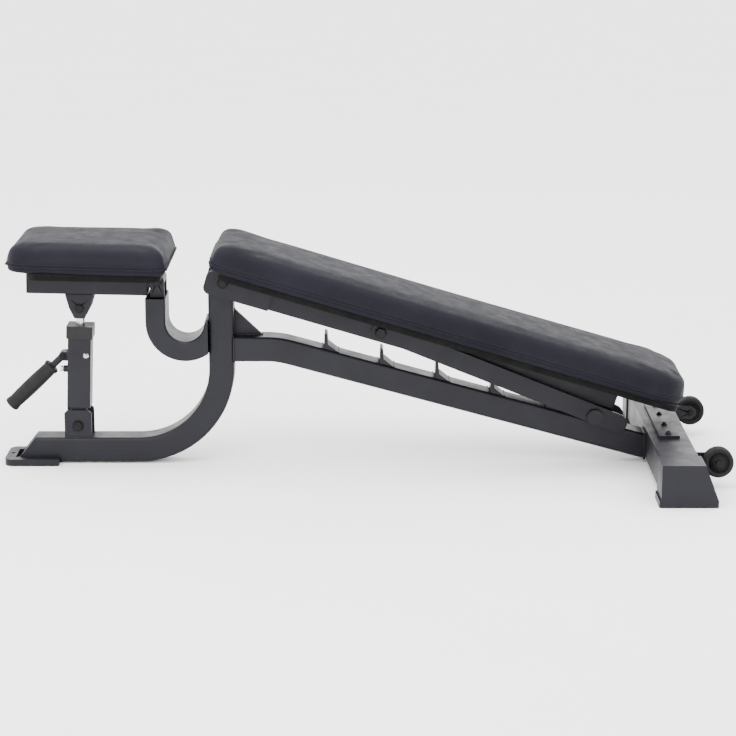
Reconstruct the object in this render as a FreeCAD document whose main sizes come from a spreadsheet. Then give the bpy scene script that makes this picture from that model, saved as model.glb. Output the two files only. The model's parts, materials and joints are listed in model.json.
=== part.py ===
"""Adjustable weight bench: hinged back pad on a ladder strut, tilting seat on a telescopic post.

Frame: +X to the head end, +Y to the far side, +Z up. The origin is on the floor, at the middle of
the bench's box. Lengths are millimetres and angles are degrees.
"""
import FreeCAD, Part
import math
import os
import Sketcher

DIMENSIONS = {
    # welded frame
    "tube_width": 60, "tube_depth": 50, "tube_wall": 2.5, "tube_corner": 7,
    "main_left": -694.5, "main_height": 28, "main_slant": 39, "bend_radius": 168,
    "slant_margin": 0.2, "cap_margin": 3, "cap_inset": 1.5, "cap_thickness": 5,
    "upright_across": -279.5, "upright_top": 345,
    "support_depth": 40, "support_width": 96, "support_across": -407.5, "support_top": 340,
    "support_bend": 58, "support_bend_height": 292,
    "spine_height": 234, "spine_bend_across": -166.8, "spine_slope": 15.2, "spine_bend_radius": 180,
    "gusset_reach": 57, "gusset_rise": 54, "gusset_thickness": 8,
    "hook_height": 29, "hook_thickness": 6, "hook_width": 50, "hook_lean": 7,
    "hook_first": -73, "hook_pitch": 110.5, "hook_foot_length": 27, "hook_foot_height": 10,
    # base at the head end
    "cross_left": 565, "cross_right": 640, "cross_flare": 25, "cross_top": 79, "cross_bottom": 16,
    "cross_length": 650, "cross_wall": 3, "cross_corner": 2.7, "boot_corner": 2.8,
    "boot_width": 112, "boot_inner": 265, "boot_outer": 335, "boot_wall": 3.5, "boot_sole": 14,
    "plate_length": 254, "plate_width": 40, "plate_thickness": 5, "plate_across": 602,
    "bolt_spot_inner": 40, "bolt_spot_outer": 107,
    # foot at the seat end
    "shoe_length": 109, "shoe_width": 100, "shoe_height": 14, "shoe_left": -715.5,
    "shoe_floor": 3, "shoe_corner": 17, "shoe_hole": 9, "shoe_hole_inset": 11.5,
    # transport wheels
    "wheel_across": 686.7, "wheel_side": 197.5, "wheel_height": 51.3, "wheel_radius": 29.5,
    "wheel_width": 25, "hub_radius": 19, "hub_inset": 1.9, "axle_radius": 5,
    # back pad, in its own frame: along from the hinge, up from the hinge
    "hinge_across": -274.5, "hinge_height": 370, "back_angle": 16.5,
    "back_start": -40, "back_length": 979, "back_width": 255, "back_top": 87, "pad_thickness": 56,
    "board_thickness": 12, "board_inset": 14, "back_tube_width": 50, "back_tube_depth": 48,
    "back_tube_start": 34, "back_tube_end": 815, "board_seat_inset": 26,
    "ear_left": -35, "ear_right": 100, "ear_round": 14, "ear_inner": 31, "ear_thickness": 6,
    "ear_packing_left": 45, "hinge_lug_radius": 16, "hinge_bolt_radius": 7,
    # strut
    "strut_along": 326.4, "strut_drop": 6, "strut_angle": 21.95, "strut_length": 460,
    "strut_overrun": 66, "strut_depth": 37, "strut_rise": 4.5, "strut_thickness": 7.8, "strut_inner": 33.6,
    "strut_pin_radius": 10, "pivot_radius": 8, "spacer_radius": 14.4, "brace_along": 395, "brace_drop": 2,
    # seat, in its own frame: along from its hinge, up from its hinge
    "seat_hinge_across": -404, "seat_hinge_height": 372, "seat_angle": 1.2,
    "seat_front": -290, "seat_back": 28, "seat_width": 275, "seat_top": 82, "seat_thickness": 54,
    "seat_tube_depth": 46, "seat_tube_front": -256, "seat_tube_back": -20,
    "cheek_radius": 14, "seat_pin_radius": 6, "clevis_along": -153.8, "clevis_drop": 58.2,
    "clevis_radius": 20.5, "clevis_top": 57, "seat_board_inset": 44,
    # telescopic post, in its own frame: up from its lower pin
    "post_foot_across": -568.5, "post_foot_height": 77, "post_lean": 2.27, "post_length": 240.2,
    "sleeve_size": 46, "sleeve_wall": 3, "sleeve_corner": 2.7, "sleeve_bottom": 36, "sleeve_top": 178,
    "collar_size": 52, "collar_height": 25, "rod_radius": 9, "rod_bottom": 62,
    "lever_height": 139, "lever_out": 10, "lever_angle": 43.5, "lever_rod_radius": 7,
    "lever_rod_length": 32, "grip_radius": 16, "grip_length": 118, "lever_socket": 71,
    # smaller pieces
    "pad_rim": 15, "board_corner": 24, "back_corner_seat": 30, "back_corner_head": 64,
    "seat_corner_front": 40, "seat_corner_back": 22, "tab_reach": 34, "tab_width": 40,
    "tab_thickness": 4, "screw_head_radius": 6.5, "screw_head_height": 5,
    "back_tab_first": 140, "back_tab_second": 620, "seat_tab_first": -225, "seat_tab_second": -75,
    "bracket_gap": 3, "bracket_thickness": 6, "bracket_reach": 14,
    "bracket_nose": 10, "bracket_flat": 5.5, "tyre_round": 4,
    "foot_cheek_width": 54, "foot_cheek_top": 109, "foot_cheek_inner": 20, "foot_pin_radius": 7,
    "foot_lug_radius": 15, "lever_cheek_radius": 9, "lever_cheek_inner": 10,
    "lever_cheek_thickness": 4, "lever_pin_radius": 4, "lock_height": 111, "lock_radius": 3,
    "boss_length": 10, "boss_radius": 7, "lock_head_gap": 1, "lock_head_length": 5,
    "lock_bite": 2.8, "slot_floor": 5.6, "slot_above": 8, "slot_length": 47,
    "slot_side_gap": 1,
    "guide_screw_radius": 6, "guide_screw_across": 14, "guide_screw_height": 144,
    "eye_radius": 13, "eye_width": 28, "eye_bore": 8, "guide_length": 16,
    # fits
    "running_gap": 0.05, "side_gap": 0.6, "slide_gap": 0.35,
    # bolt heads, as shares of the bolt's radius
    "head_spread": 1.6, "head_rise": 0.8,
}


class Size:
    """A length worked out from the sheet: its number, and the expression that says so."""

    def __init__(self, number, text):
        self.number = float(number)
        self.text = text

    def __add__(self, other):
        return Size(self.number + number_of(other), f"({self.text} + {text_of(other)})")

    def __radd__(self, other):
        return Size(number_of(other) + self.number, f"({text_of(other)} + {self.text})")

    def __sub__(self, other):
        return Size(self.number - number_of(other), f"({self.text} - {text_of(other)})")

    def __rsub__(self, other):
        return Size(number_of(other) - self.number, f"({text_of(other)} - {self.text})")

    def __mul__(self, other):
        return Size(self.number * number_of(other), f"({self.text} * {text_of(other)})")

    __rmul__ = __mul__

    def __truediv__(self, other):
        return Size(self.number / number_of(other), f"({self.text} / {text_of(other)})")

    def __neg__(self):
        return Size(-self.number, f"(0 - {self.text})")


def number_of(size):
    return size.number if isinstance(size, Size) else float(size)


def text_of(size):
    return size.text if isinstance(size, Size) else repr(float(size))


doc = FreeCAD.newDocument("weight_bench")
sheet = doc.addObject("Spreadsheet::Sheet", "Dims")
for row, (alias, value) in enumerate(DIMENSIONS.items(), start=1):
    sheet.set(f"A{row}", alias)
    sheet.set(f"B{row}", str(value))
    sheet.setAlias(f"B{row}", alias)
doc.recompute()


class Sheet:
    """Reads one alias of the sheet as a Size."""

    def __getattr__(self, alias):
        return Size(float(sheet.get(alias)), f"Dims.{alias}")


D = Sheet()
NODES = []


def bind(thing, prop, size):
    thing.setExpression(prop, text_of(size))


def sine(size):
    return Size(math.sin(math.radians(size.number)), f"sin({size.text})")


def cosine(size):
    return Size(math.cos(math.radians(size.number)), f"cos({size.text})")


def turned(across, side, height, angle=0):
    """A placement at a point, turned about +Y: a positive angle lowers the +X end."""
    base = FreeCAD.Vector(number_of(across), number_of(side), number_of(height))
    return FreeCAD.Placement(base, FreeCAD.Rotation(FreeCAD.Vector(0, 1, 0), number_of(angle)))


BACK = turned(D.hinge_across, 0, D.hinge_height, D.back_angle)
SEAT = turned(D.seat_hinge_across, 0, D.seat_hinge_height, D.seat_angle)
POST = turned(D.post_foot_across, 0, D.post_foot_height, D.post_lean)
STRUT = BACK.multiply(turned(D.strut_along, 0, -D.strut_drop, D.strut_angle - D.back_angle))
LEVER = POST.multiply(turned(-(D.sleeve_size / 2 + D.lever_out), 0, D.lever_height,
                             180 - D.lever_angle - D.post_lean))
FLOOR = FreeCAD.Placement()


# ---- sketches ------------------------------------------------------------------------------

def new_body(label):
    body = doc.addObject("PartDesign::Body", label)
    body.Label = label
    NODES.append(body)
    return body


def new_sketch(body, plane="XZ_Plane", offset=0):
    """A sketch on one origin plane of the body, moved along the plane's normal."""
    sketch = body.newObject("Sketcher::SketchObject", body.Name + "_sketch")
    origin = [item for item in body.Origin.OriginFeatures if item.Role == plane][0]
    sketch.AttachmentSupport = (origin, [""])
    sketch.MapMode = "FlatFace"
    sketch.setExpression(".AttachmentOffset.Base.z", text_of(offset))
    return sketch


def hold(sketch, kind, geometry, point, size):
    """Ties one coordinate of a sketch point to the sketch's origin."""
    index = sketch.addConstraint(
        Sketcher.Constraint(kind, -1, 1, geometry, point, number_of(size)))
    sketch.setExpression(f"Constraints[{index}]", text_of(size))


def polygon(sketch, points):
    """A closed outline whose every corner follows the sheet."""
    first = sketch.GeometryCount
    corners = [FreeCAD.Vector(number_of(x), number_of(y), 0) for x, y in points]
    for corner, following in zip(corners, corners[1:] + corners[:1]):
        sketch.addGeometry(Part.LineSegment(corner, following))
    for index, (x, y) in enumerate(points):
        before = first + (index - 1) % len(points)
        sketch.addConstraint(Sketcher.Constraint("Coincident", first + index, 1, before, 2))
        hold(sketch, "DistanceX", first + index, 1, x)
        hold(sketch, "DistanceY", first + index, 1, y)


def circle(sketch, x, y, radius):
    centre = FreeCAD.Vector(number_of(x), number_of(y), 0)
    ring = sketch.addGeometry(Part.Circle(centre, FreeCAD.Vector(0, 0, 1), number_of(radius)))
    hold(sketch, "DistanceX", ring, 3, x)
    hold(sketch, "DistanceY", ring, 3, y)
    index = sketch.addConstraint(Sketcher.Constraint("Radius", ring, number_of(radius)))
    sketch.setExpression(f"Constraints[{index}]", text_of(radius))


def rectangle(sketch, left, right, low, high):
    polygon(sketch, [(left, low), (right, low), (right, high), (left, high)])


def stadium(sketch, left, right, radius, round_left=True, round_right=True):
    """A bar along x whose ends are half rounds about (left, 0) and (right, 0), or square."""
    r = number_of(radius)
    a = number_of(left)
    b = number_of(right)
    up = FreeCAD.Vector(0, 0, 1)
    top = sketch.addGeometry(Part.LineSegment(FreeCAD.Vector(a, r, 0), FreeCAD.Vector(b, r, 0)))
    low = sketch.addGeometry(Part.LineSegment(FreeCAD.Vector(b, -r, 0), FreeCAD.Vector(a, -r, 0)))
    for line, first, last in ((top, left, right), (low, right, left)):
        height = radius if line == top else -radius
        hold(sketch, "DistanceX", line, 1, first)
        hold(sketch, "DistanceX", line, 2, last)
        hold(sketch, "DistanceY", line, 1, height)
        hold(sketch, "DistanceY", line, 2, height)
    ends = ((round_left, a, top, 1, low, 2, 90, 270), (round_right, b, low, 1, top, 2, 270, 450))
    for rounded, x, from_line, from_point, to_line, to_point, start, stop in ends:
        if rounded:
            ring = Part.Circle(FreeCAD.Vector(x, 0, 0), up, r)
            end = sketch.addGeometry(
                Part.ArcOfCircle(ring, math.radians(start), math.radians(stop)))
            hold(sketch, "DistanceX", end, 3, left if x == a else right)
        else:
            begin = FreeCAD.Vector(x, r if from_line == top else -r, 0)
            finish = FreeCAD.Vector(x, -begin.y, 0)
            end = sketch.addGeometry(Part.LineSegment(begin, finish))
        sketch.addConstraint(Sketcher.Constraint("Coincident", end, 1, from_line, from_point))
        sketch.addConstraint(Sketcher.Constraint("Coincident", end, 2, to_line, to_point))


# ---- features ------------------------------------------------------------------------------

def pad(body, sketch, length, both_ways=True):
    feature = body.newObject("PartDesign::Pad", body.Name + "_pad")
    feature.Profile = sketch
    feature.SideType = "Symmetric" if both_ways else "One side"
    bind(feature, "Length", length)
    sketch.Visibility = False
    return feature


def pocket(body, sketch, length, both_ways=True, reverse=False):
    feature = body.newObject("PartDesign::Pocket", body.Name + "_pocket")
    feature.Profile = sketch
    feature.SideType = "Symmetric" if both_ways else "One side"
    feature.Reversed = reverse
    bind(feature, "Length", length)
    return feature


def fillet(body, chosen, radius):
    """Rounds the edges of the body's tip that the test picks."""
    doc.recompute()
    tip = body.Tip
    names = [f"Edge{i}" for i, edge in enumerate(tip.Shape.Edges, start=1) if chosen(edge)]
    feature = body.newObject("PartDesign::Fillet", body.Name + "_fillet")
    feature.Base = (tip, names)
    bind(feature, "Radius", radius)
    return feature


def runs_along(axis):
    """A test for straight edges along one axis."""
    def chosen(edge):
        if not isinstance(edge.Curve, Part.Line):
            return False
        return abs(abs(edge.Curve.Direction.dot(axis)) - 1) < 1e-6
    return chosen


X_AXIS, Y_AXIS, Z_AXIS = FreeCAD.Vector(1, 0, 0), FreeCAD.Vector(0, 1, 0), FreeCAD.Vector(0, 0, 1)


def side_offset(near, far):
    """Where a plate from y = near to y = far has its middle, along the XZ plane's normal."""
    return -(near + far) / 2


def plate(label, place, outline, near, far, holes=()):
    """A flat plate in the XZ plane, from y = near to y = far, with round holes."""
    body = new_body(label)
    sketch = new_sketch(body, offset=side_offset(near, far))
    polygon(sketch, outline)
    for x, y, radius in holes:
        circle(sketch, x, y, radius)
    pad(body, sketch, far - near)
    body.Placement = place
    return body


def lug(label, place, reach, radius, hole, near, far):
    """A plate with a round end about a bored pivot at its own origin; it reaches along +x."""
    body = new_body(label)
    sketch = new_sketch(body, offset=side_offset(near, far))
    stadium(sketch, 0, reach, radius, round_right=False)
    circle(sketch, 0, 0, hole)
    pad(body, sketch, far - near)
    body.Placement = place
    return body


def block(label, place, left, right, near, far, low, high):
    """A plain rectangular block."""
    body = new_body(label)
    sketch = new_sketch(body, "XY_Plane", low)
    rectangle(sketch, left, right, near, far)
    pad(body, sketch, high - low, both_ways=False)
    body.Placement = place
    return body


def straight_tube(label, place, start, end, width, low, high, wall):
    """A hollow rectangular tube along x."""
    body = new_body(label)
    sketch = new_sketch(body, "YZ_Plane", start)
    rectangle(sketch, -width / 2, width / 2, low, high)
    rectangle(sketch, wall - width / 2, width / 2 - wall, low + wall, high - wall)
    pad(body, sketch, end - start, both_ways=False)
    fillet(body, runs_along(X_AXIS), D.tube_wall)
    body.Placement = place
    return body


def shaft(label, place, x, z, radius, near, far, headed=True):
    """A round pin along Y, with a larger round head at each end where it is headed."""
    steps = [(near, far, radius)]
    if headed:
        head = radius * D.head_spread
        rise = radius * D.head_rise
        steps = [(near - rise, near, head), (near, far, radius), (far, far + rise, head)]
    pieces = []
    for index, (begin, finish, size) in enumerate(steps):
        piece = doc.addObject("Part::Cylinder", f"{label}_step{index}")
        bind(piece, "Radius", size)
        bind(piece, "Height", finish - begin)
        across = FreeCAD.Vector(number_of(x), number_of(begin), number_of(z))
        piece.Placement = FreeCAD.Placement(across, FreeCAD.Rotation(X_AXIS, -90))
        pieces.append(piece)
    if len(pieces) > 1:
        whole = doc.addObject("Part::MultiFuse", label)
        whole.Shapes = pieces
        whole.Refine = True
    else:
        whole = pieces[0]
    whole.Placement = place.multiply(whole.Placement) if len(pieces) == 1 else place
    whole.Label = label
    NODES.append(whole)
    return whole


def group(label, place, radius, length, axis_turn, spots):
    """Separate round solids of one size in one node, such as a set of screws."""
    pieces = []
    for index, (x, y, z) in enumerate(spots):
        piece = doc.addObject("Part::Cylinder", f"{label}_{index}")
        bind(piece, "Radius", radius)
        bind(piece, "Height", length)
        spot = FreeCAD.Vector(number_of(x), number_of(y), number_of(z))
        piece.Placement = FreeCAD.Placement(spot, axis_turn)
        pieces.append(piece)
    whole = doc.addObject("Part::Compound", label)
    whole.Links = pieces
    whole.Placement = place
    whole.Label = label
    NODES.append(whole)
    return whole


STANDING = FreeCAD.Rotation()
ALONG_Y = FreeCAD.Rotation(X_AXIS, -90)


# ---- bent tubes ----------------------------------------------------------------------------

def rounded_section(sketch, width, depth, corner, middle_x, middle_y):
    """A rounded rectangle about a point, width along the sketch's x and depth along its y."""
    w = width / 2
    d = depth / 2
    r = number_of(corner)
    first = sketch.GeometryCount
    cx, cy, hw, hd = (number_of(size) for size in (middle_x, middle_y, w, d))
    sides = [((r - hw, -hd), (hw - r, -hd)), ((hw, r - hd), (hw, hd - r)),
             ((hw - r, hd), (r - hw, hd)), ((-hw, hd - r), (-hw, r - hd))]
    for begin, finish in sides:
        sketch.addGeometry(Part.LineSegment(FreeCAD.Vector(cx + begin[0], cy + begin[1], 0),
                                            FreeCAD.Vector(cx + finish[0], cy + finish[1], 0)))
    centres = [(hw - r, r - hd, -90), (hw - r, hd - r, 0), (r - hw, hd - r, 90),
               (r - hw, r - hd, 180)]
    for x, y, start in centres:
        ring = Part.Circle(FreeCAD.Vector(cx + x, cy + y, 0), FreeCAD.Vector(0, 0, 1), r)
        sketch.addGeometry(
            Part.ArcOfCircle(ring, math.radians(start), math.radians(start + 90)))
    for index in range(4):
        sketch.addConstraint(Sketcher.Constraint(
            "Tangent", first + index, 2, first + 4 + index, 1))
        sketch.addConstraint(Sketcher.Constraint(
            "Tangent", first + 4 + index, 2, first + (index + 1) % 4, 1))
    hold(sketch, "DistanceY", first, 1, middle_y - d)
    hold(sketch, "DistanceX", first + 1, 1, middle_x + w)
    hold(sketch, "DistanceY", first + 2, 1, middle_y + d)
    hold(sketch, "DistanceX", first + 3, 1, middle_x - w)
    radius = sketch.addConstraint(Sketcher.Constraint("Radius", first + 4, r))
    sketch.setExpression(f"Constraints[{radius}]", text_of(corner))
    for index in range(5, 8):
        sketch.addConstraint(Sketcher.Constraint("Equal", first + 4, first + index))


def bent_tube(label, plane, offset, middle_x, middle_y, width, depth, path):
    """A hollow tube swept along a path of tangent lines and arcs in the XZ plane.

    The path is a list of lines ("line", start, end) and arcs ("arc", start, middle, end).
    """
    body = new_body(label)
    spine = new_sketch(body)
    for kind, *points in path:
        spots = [FreeCAD.Vector(number_of(x), number_of(y), 0) for x, y in points]
        if kind == "line":
            index = spine.addGeometry(Part.LineSegment(*spots))
        else:
            index = spine.addGeometry(Part.Arc(*spots))
            hold(spine, "DistanceY", index, 3, arc_centre_height(points))
        for point, (x, y) in ((1, points[0]), (2, points[-1])):
            if kind == "arc" and is_clockwise(spots):
                point = 3 - point
            hold(spine, "DistanceX", index, point, x)
            hold(spine, "DistanceY", index, point, y)
    section = new_sketch(body, plane, offset)
    rounded_section(section, width, depth, D.tube_corner, middle_x, middle_y)
    rounded_section(section, width - D.tube_wall * 2, depth - D.tube_wall * 2,
                    D.tube_corner - D.tube_wall, middle_x, middle_y)
    doc.recompute()
    pipe = body.newObject("PartDesign::AdditivePipe", label + "_pipe")
    pipe.Profile = section
    pipe.Spine = spine
    return body


def is_clockwise(spots):
    start, middle, end = spots
    return (middle - start).cross(end - middle).z < 0


def arc_centre_height(points):
    """The height of the centre of the arc through three points."""
    spots = [FreeCAD.Vector(number_of(x), number_of(y), 0) for x, y in points]
    return Part.Arc(*spots).toShape().Curve.Center.y


# ---- helpers for pieces that come in sets ----------------------------------------------------

def joined(label, pieces):
    """Separate solids that share one node."""
    for piece in pieces:
        NODES.remove(piece)
    whole = doc.addObject("Part::Compound", label)
    whole.Links = pieces
    whole.Label = label
    NODES.append(whole)
    return whole


def lug_pair(label, place, reach, radius, hole, inner, outer):
    """Two equal round-ended plates, one each side of the middle plane."""
    sides = (("near", -outer, -inner), ("far", inner, outer))
    return joined(label, [lug(f"{label}_{name}", place, reach, radius, hole, low, high)
                          for name, low, high in sides])


def on(place, along, up, angle=0):
    """A placement inside another one, at a point of its XZ plane."""
    return place.multiply(turned(along, 0, up, angle))


def pin_hole(body, along, up, radius, depth):
    """A hole along Y right through the body."""
    sketch = new_sketch(body)
    circle(sketch, along, up, radius)
    return pocket(body, sketch, depth)


def corners_at(across, upward=Z_AXIS):
    """A test for the upright corner edges that stand at one x of the body's own frame."""
    along = runs_along(upward)
    return lambda edge: along(edge) and abs(edge.CenterOfMass.x - number_of(across)) < 0.5


def rim_at(level):
    """A test for every edge that lies flat at one height."""
    def chosen(edge):
        box = edge.BoundBox
        return box.ZLength < 1e-3 and abs(box.ZMin - number_of(level)) < 1e-3
    return chosen


def cushion(label, place, left, right, width, low, high, left_corner, right_corner):
    """The plain closed solid of a pad: rounded corners, a soft top rim and a flat base."""
    body = new_body(label)
    sketch = new_sketch(body, "XY_Plane", low)
    rectangle(sketch, left, right, -width / 2, width / 2)
    pad(body, sketch, high - low, both_ways=False)
    fillet(body, corners_at(left), left_corner)
    fillet(body, corners_at(right), right_corner)
    fillet(body, rim_at(high), D.pad_rim)
    fillet(body, rim_at(low), D.pad_rim / 2)
    body.Placement = place
    return body


def board(label, place, left, right, width, low):
    """The plywood board that a pad is stapled to."""
    body = new_body(label)
    sketch = new_sketch(body, "XY_Plane", low)
    rectangle(sketch, left, right, -width / 2, width / 2)
    pad(body, sketch, D.board_thickness, both_ways=False)
    fillet(body, runs_along(Z_AXIS), D.board_corner)
    body.Placement = place
    return body


def pad_fixings(name, place, level, spots):
    """Four tabs beside a pad's tube, under its board, and the screws through them."""
    inner = D.back_tube_width / 2
    reach = D.tab_reach
    tabs = []
    heads = []
    for along in spots:
        for side, low, high in (("near", -(inner + reach), -inner), ("far", inner, inner + reach)):
            tabs.append(block(f"{name}_tab_{side}_{len(tabs)}", place, along - D.tab_width / 2,
                              along + D.tab_width / 2, low, high, level - D.tab_thickness, level))
            heads.append((along, (low + high) / 2, level - D.tab_thickness - D.screw_head_height))
    joined(f"{name}_pad_tabs", tabs)
    group(f"{name}_pad_screws", place, D.screw_head_radius, D.screw_head_height, STANDING, heads)


# ---- welded frame ----------------------------------------------------------------------------

def main_tube():
    """The floor tube: flat from the seat end, then bent up into the upright."""
    height = D.main_height
    centre_x = D.upright_across - D.bend_radius
    centre_z = height + D.bend_radius
    lean = D.bend_radius * math.sqrt(0.5)
    path = [("line", (D.main_left, height), (centre_x, height)),
            ("arc", (centre_x, height), (centre_x + lean, centre_z - lean),
             (D.upright_across, centre_z)),
            ("line", (D.upright_across, centre_z), (D.upright_across, D.upright_top))]
    body = bent_tube("main_tube", "YZ_Plane", D.main_left, 0, height,
                     D.tube_width, D.tube_depth, path)
    low = height - D.tube_depth / 2
    high = height + D.tube_depth / 2
    over = D.main_slant * D.slant_margin
    beyond = D.tube_depth * D.slant_margin
    slant = new_sketch(body)
    polygon(slant, [(D.main_left - over, low - beyond),
                    (D.main_left + D.main_slant + over, high + beyond),
                    (D.main_left - D.main_slant, high + beyond),
                    (D.main_left - D.main_slant, low - beyond)])
    pocket(body, slant, D.tube_width * 2)
    margin = D.cap_margin
    foot = D.main_left + D.cap_inset + D.main_slant * margin / D.tube_depth
    head = D.main_left + D.cap_inset + D.main_slant * (D.tube_depth - margin) / D.tube_depth
    plate("main_tube_cap", FLOOR,
          [(foot, low + margin), (foot + D.cap_thickness, low + margin),
           (head + D.cap_thickness, high - margin), (head, high - margin)],
          margin * 2 - D.tube_width / 2, D.tube_width / 2 - margin * 2)


def seat_support_tube():
    """The U of tube that carries the seat: down from the seat hinge and up into the upright."""
    left = D.support_across
    middle = left + D.support_bend
    path = [("line", (left, D.support_top), (left, D.support_bend_height)),
            ("arc", (left, D.support_bend_height),
             (middle, D.support_bend_height - D.support_bend),
             (middle + D.support_bend, D.support_bend_height))]
    body = bent_tube("seat_support_tube", "XY_Plane", D.support_top, left, 0,
                     D.support_depth, D.support_width, path)
    weld = new_sketch(body)
    rectangle(weld, D.upright_across - D.tube_depth / 2, D.upright_across + D.tube_depth,
              D.support_bend_height - D.support_bend * 2, D.support_top)
    pocket(body, weld, D.support_width * 2)


def spine_drop(across):
    """How far the sloping top of the spine is below its level at the bend."""
    return (across - D.spine_bend_across) * sine(D.spine_slope) / cosine(D.spine_slope)


def spine_tube():
    """The spine: level at the upright, then sloping down to the cross member."""
    slope = D.spine_slope
    reach = D.spine_bend_radius * (1 - cosine(slope)) / sine(slope)
    start = D.spine_bend_across - reach
    end_x = D.cross_left + D.tube_wall * 4
    turn_x = D.spine_bend_across + reach * cosine(slope)
    turn_z = D.spine_height - reach * sine(slope)
    half = slope / 2
    middle = (start + D.spine_bend_radius * sine(half),
              D.spine_height - D.spine_bend_radius * (1 - cosine(half)))
    left = D.upright_across + D.tube_depth / 2
    path = [("line", (left, D.spine_height), (start, D.spine_height)),
            ("arc", (start, D.spine_height), middle, (turn_x, turn_z)),
            ("line", (turn_x, turn_z), (end_x, D.spine_height - spine_drop(end_x)))]
    body = bent_tube("spine_tube", "YZ_Plane", left, 0, D.spine_height,
                     D.tube_width, D.tube_depth, path)
    weld = new_sketch(body)
    rectangle(weld, D.cross_left, D.cross_right, -D.tube_depth, D.tube_depth * 3)
    pocket(body, weld, D.tube_width * 2)


def gusset_plate():
    corner_x = D.upright_across + D.tube_depth / 2
    corner_z = D.spine_height + D.tube_depth / 2
    plate("gusset_plate", FLOOR,
          [(corner_x, corner_z), (corner_x + D.gusset_reach, corner_z),
           (corner_x, corner_z + D.gusset_rise)],
          -D.gusset_thickness / 2, D.gusset_thickness / 2)


def ladder_hooks():
    """The row of leaning plates that the strut's pin rests against, each with a ramp behind."""
    hooks = []
    half = D.hook_thickness / 2
    outline = [(-half, 0), (D.hook_foot_length, 0), (half, D.hook_foot_height),
               (half - D.hook_lean, D.hook_height), (-half - D.hook_lean, D.hook_height)]
    for index in range(6):
        across = D.hook_first + D.hook_pitch * index
        top = D.spine_height - spine_drop(across) + D.tube_depth / 2 / cosine(D.spine_slope)
        place = turned(across, 0, top, D.spine_slope)
        hooks.append(plate(f"ladder_hook_{index + 1}", place, outline,
                           -D.hook_width / 2, D.hook_width / 2))
    joined("ladder_hooks", hooks)


def cross_side(height):
    """Where the sloping side of the cross member is at one height."""
    fall = (D.cross_top - height) / (D.cross_top - D.cross_bottom)
    return D.cross_right + D.cross_flare * fall


def cross_outline(grow):
    """The cross member's section, larger all round by grow."""
    low = D.cross_bottom - grow
    high = D.cross_top + grow
    return [(D.cross_left - grow, low), (cross_side(low) + grow, low),
            (cross_side(high) + grow, high), (D.cross_left - grow, high)]


def cross_member():
    body = new_body("cross_member")
    sketch = new_sketch(body)
    polygon(sketch, cross_outline(0))
    polygon(sketch, cross_outline(-D.cross_wall))
    pad(body, sketch, D.cross_length)
    fillet(body, runs_along(Y_AXIS), D.cross_corner)
    block("mount_plate", FLOOR, D.plate_across - D.plate_width / 2,
          D.plate_across + D.plate_width / 2, -D.plate_length / 2, D.plate_length / 2,
          D.cross_top, D.cross_top + D.plate_thickness)
    spots = [(D.plate_across, side, D.cross_top + D.plate_thickness)
             for side in (-D.bolt_spot_outer, -D.bolt_spot_inner,
                          D.bolt_spot_inner, D.bolt_spot_outer)]
    group("mount_bolts", FLOOR, D.screw_head_radius, D.screw_head_height, STANDING, spots)


def head_feet():
    """Moulded boots on the ends of the cross member, with a wide sole."""
    sole_left = D.cross_left - D.boot_wall * 2
    wall = D.boot_wall
    outline = [(sole_left, 0), (sole_left + D.boot_width, 0),
               (sole_left + D.boot_width, D.boot_sole), (cross_side(D.boot_sole) + wall, D.boot_sole),
               (D.cross_right + wall, D.cross_top + wall),
               (D.cross_left - wall, D.cross_top + wall), (D.cross_left - wall, D.boot_sole),
               (sole_left, D.boot_sole)]
    for name, sign in (("near", -1), ("far", 1)):
        inner = D.boot_inner * sign
        outer = D.boot_outer * sign
        end = D.cross_length / 2 * sign
        body = plate(f"head_foot_{name}", FLOOR, outline, *sorted((inner, outer), key=number_of))
        socket = new_sketch(body, offset=side_offset(inner, end))
        polygon(socket, cross_outline(0))
        pocket(body, socket, (end - inner) * sign)
        fillet(body, corners_at(sole_left), D.boot_corner)
        fillet(body, corners_at(sole_left + D.boot_width), D.boot_corner)


def seat_foot():
    """The shoe under the seat end of the floor tube, with a hole to bolt it down."""
    left = D.shoe_left
    body = block("seat_foot", FLOOR, left, left + D.shoe_length, -D.shoe_width / 2,
                 D.shoe_width / 2, 0, D.shoe_height)
    channel = new_sketch(body, "XY_Plane", D.shoe_floor)
    rectangle(channel, D.main_left - D.side_gap, left + D.shoe_length * 2,
              -D.tube_width / 2, D.tube_width / 2)
    pocket(body, channel, D.shoe_height * 2, both_ways=False, reverse=True)
    drilled = new_sketch(body, "XY_Plane", 0)
    circle(drilled, left + D.shoe_hole_inset, 0, D.shoe_hole / 2)
    pocket(body, drilled, D.shoe_height * 2, both_ways=False, reverse=True)
    fillet(body, corners_at(left), D.shoe_corner)


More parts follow.
